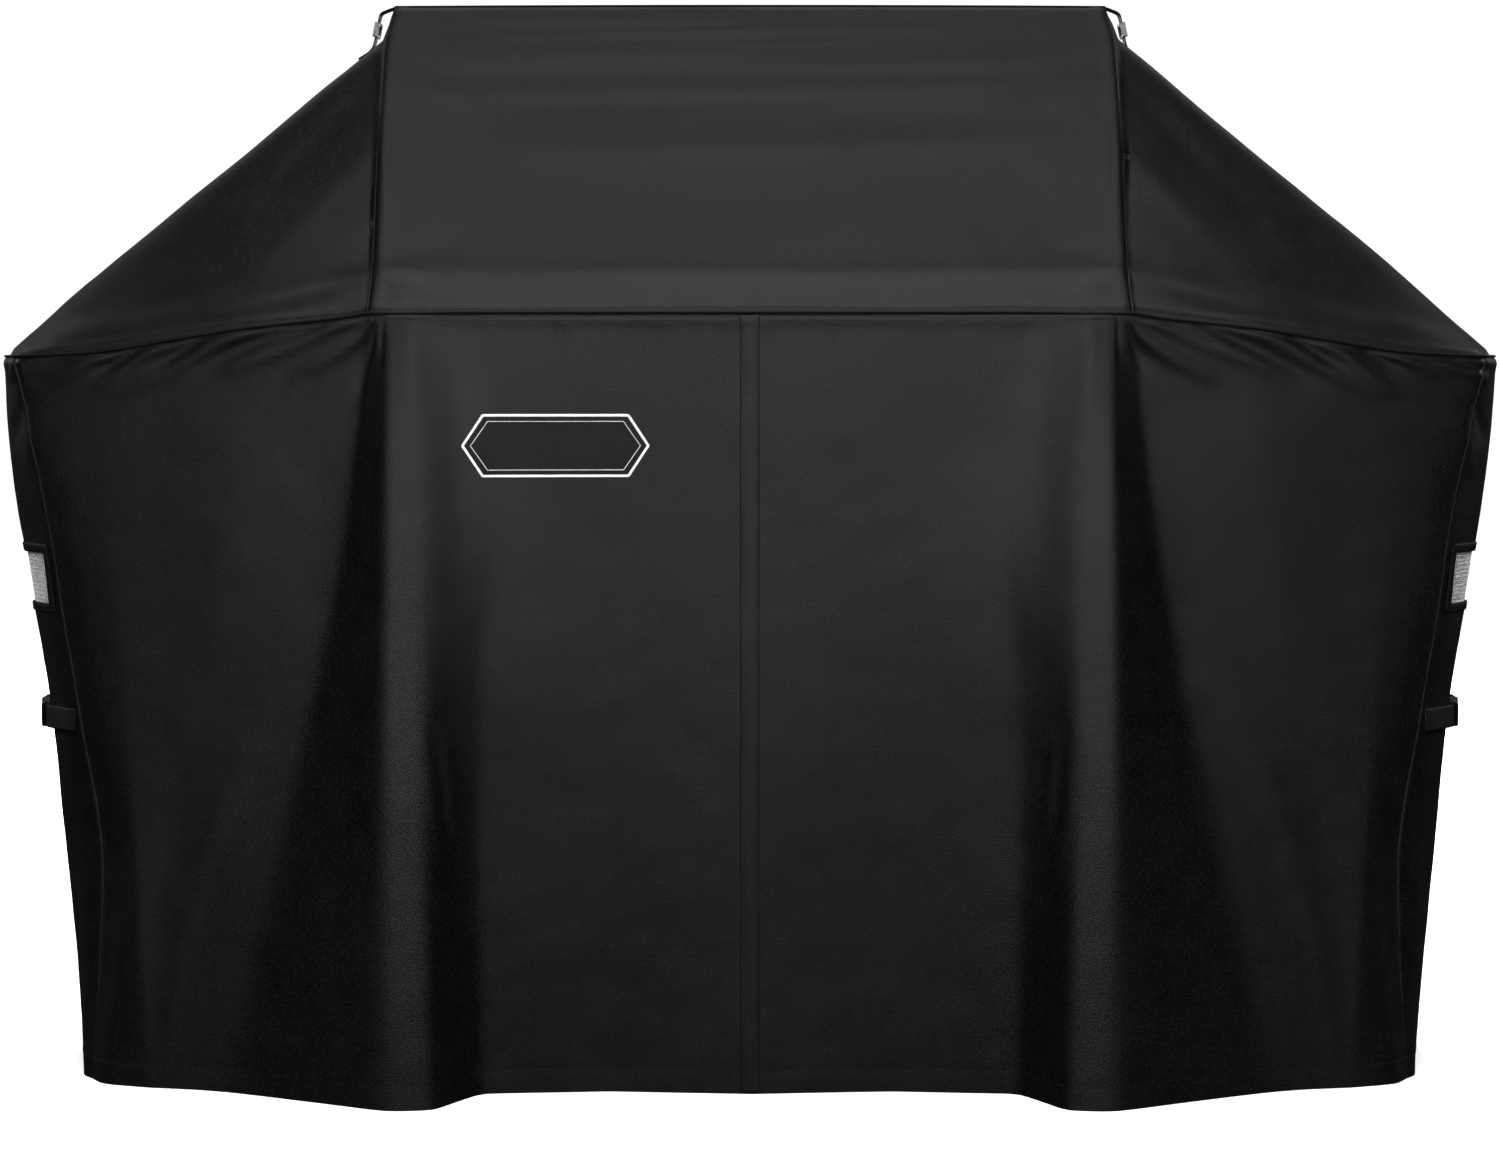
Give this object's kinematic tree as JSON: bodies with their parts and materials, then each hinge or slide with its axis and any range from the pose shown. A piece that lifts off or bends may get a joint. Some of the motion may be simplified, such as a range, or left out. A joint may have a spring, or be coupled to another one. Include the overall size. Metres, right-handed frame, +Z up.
{
  "type": "grill cover",
  "caption": "Fitted black cloth cover for a cart grill with two side shelves: raised hood, sloping shoulders, pleated skirt, side vents, buckled side straps and hang loops.",
  "frame": {"origin": "on the ground under the middle of the cover's box, at the level of the hem", "axes": "+X to the viewer's right along the cover's width, +Y from front to back, +Z up"},
  "size_m": [1.617, 0.794, 1.165],
  "materials": {
    "cover_cloth": "matte-satin coated polyester weave, black",
    "seam_welt": "rolled and topstitched seam, black",
    "seam_strip": "folded cloth strip with two stitch lines, black",
    "badge_patch": "woven patch with a light grey border",
    "vent_netting": "open knitted netting, light grey",
    "binding_tape": "ribbed binding tape, black",
    "webbing": "flat woven polypropylene webbing, black",
    "keeper_elastic": "ribbed elastic, black",
    "buckle_plastic": "moulded acetal, black, semi-gloss"
  },
  "bodies": {
    "cover": {"hood_front_panel": "cover_cloth", "hood_top_panel": "cover_cloth", "hood_back_panel": "cover_cloth", "left_shoulder": "cover_cloth", "right_shoulder": "cover_cloth", "front_skirt_left": "cover_cloth", "front_skirt_right": "cover_cloth", "side_skirt_left": "cover_cloth", "side_skirt_right": "cover_cloth", "back_skirt_left": "cover_cloth", "back_skirt_right": "cover_cloth", "main_seam_binding": "seam_welt", "centre_seam_strip": "seam_strip", "badge": "badge_patch", "left_vent_mesh": "vent_netting", "left_vent_binding": "binding_tape", "left_front_strap": "webbing", "left_rear_strap": "webbing", "left_anchor_patch": "webbing", "left_buckle_female": "buckle_plastic", "left_hang_loop": "webbing", "right_vent_mesh": "vent_netting", "right_vent_binding": "binding_tape", "right_front_strap": "webbing", "right_rear_strap": "webbing", "right_anchor_patch": "webbing", "right_buckle_female": "buckle_plastic", "right_hang_loop": "webbing"},
    "left_buckle": {"left_buckle_male": "buckle_plastic", "left_strap_tail": "webbing"},
    "left_prong_upper": {"left_buckle_prong_upper": "buckle_plastic"},
    "left_prong_lower": {"left_buckle_prong_lower": "buckle_plastic"},
    "left_keeper": {"left_strap_keeper": "keeper_elastic"},
    "left_loop_slider": {"left_hang_loop_slider": "buckle_plastic"},
    "right_buckle": {"right_buckle_male": "buckle_plastic", "right_strap_tail": "webbing"},
    "right_prong_upper": {"right_buckle_prong_upper": "buckle_plastic"},
    "right_prong_lower": {"right_buckle_prong_lower": "buckle_plastic"},
    "right_keeper": {"right_strap_keeper": "keeper_elastic"},
    "right_loop_slider": {"right_hang_loop_slider": "buckle_plastic"}
  },
  "joints": [
    {"name": "left_buckle_release", "type": "slide", "parent": "cover", "child": "left_buckle", "axis": [0, 1, 0], "range_m": [0, 0.04]},
    {"name": "left_prong_upper_flex", "type": "hinge", "parent": "left_buckle", "child": "left_prong_upper", "pos_m": [-0.7793, -0.1135, 0.3985], "axis": [1, 0, 0], "range_deg": [0, 5], "stiffness_Nm_per_rad": 0.3},
    {"name": "left_prong_lower_flex", "type": "hinge", "parent": "left_buckle", "child": "left_prong_lower", "pos_m": [-0.7793, -0.1135, 0.3855], "axis": [-1, 0, 0], "range_deg": [0, 5], "stiffness_Nm_per_rad": 0.3},
    {"name": "left_keeper_travel", "type": "slide", "parent": "cover", "child": "left_keeper", "axis": [0, 1, 0], "range_m": [-0.02, 0.03]},
    {"name": "left_loop_slider_travel", "type": "slide", "parent": "cover", "child": "left_loop_slider", "axis": [-0.1956, 0, -0.9807], "range_m": [-0.006, 0.006]},
    {"name": "right_buckle_release", "type": "slide", "parent": "cover", "child": "right_buckle", "axis": [0, 1, 0], "range_m": [0, 0.04]},
    {"name": "right_prong_upper_flex", "type": "hinge", "parent": "right_buckle", "child": "right_prong_upper", "pos_m": [0.7793, -0.1135, 0.3985], "axis": [1, 0, 0], "range_deg": [0, 5], "stiffness_Nm_per_rad": 0.3},
    {"name": "right_prong_lower_flex", "type": "hinge", "parent": "right_buckle", "child": "right_prong_lower", "pos_m": [0.7793, -0.1135, 0.3855], "axis": [-1, 0, 0], "range_deg": [0, 5], "stiffness_Nm_per_rad": 0.3},
    {"name": "right_keeper_travel", "type": "slide", "parent": "cover", "child": "right_keeper", "axis": [0, 1, 0], "range_m": [-0.02, 0.03]},
    {"name": "right_loop_slider_travel", "type": "slide", "parent": "cover", "child": "right_loop_slider", "axis": [0.1956, 0, -0.9807], "range_m": [-0.006, 0.006]}
  ],
  "couplings": [
    {"joint": "left_prong_lower_flex", "follows": "left_prong_upper_flex", "ratio": 1},
    {"joint": "right_prong_lower_flex", "follows": "right_prong_upper_flex", "ratio": 1}
  ]
}
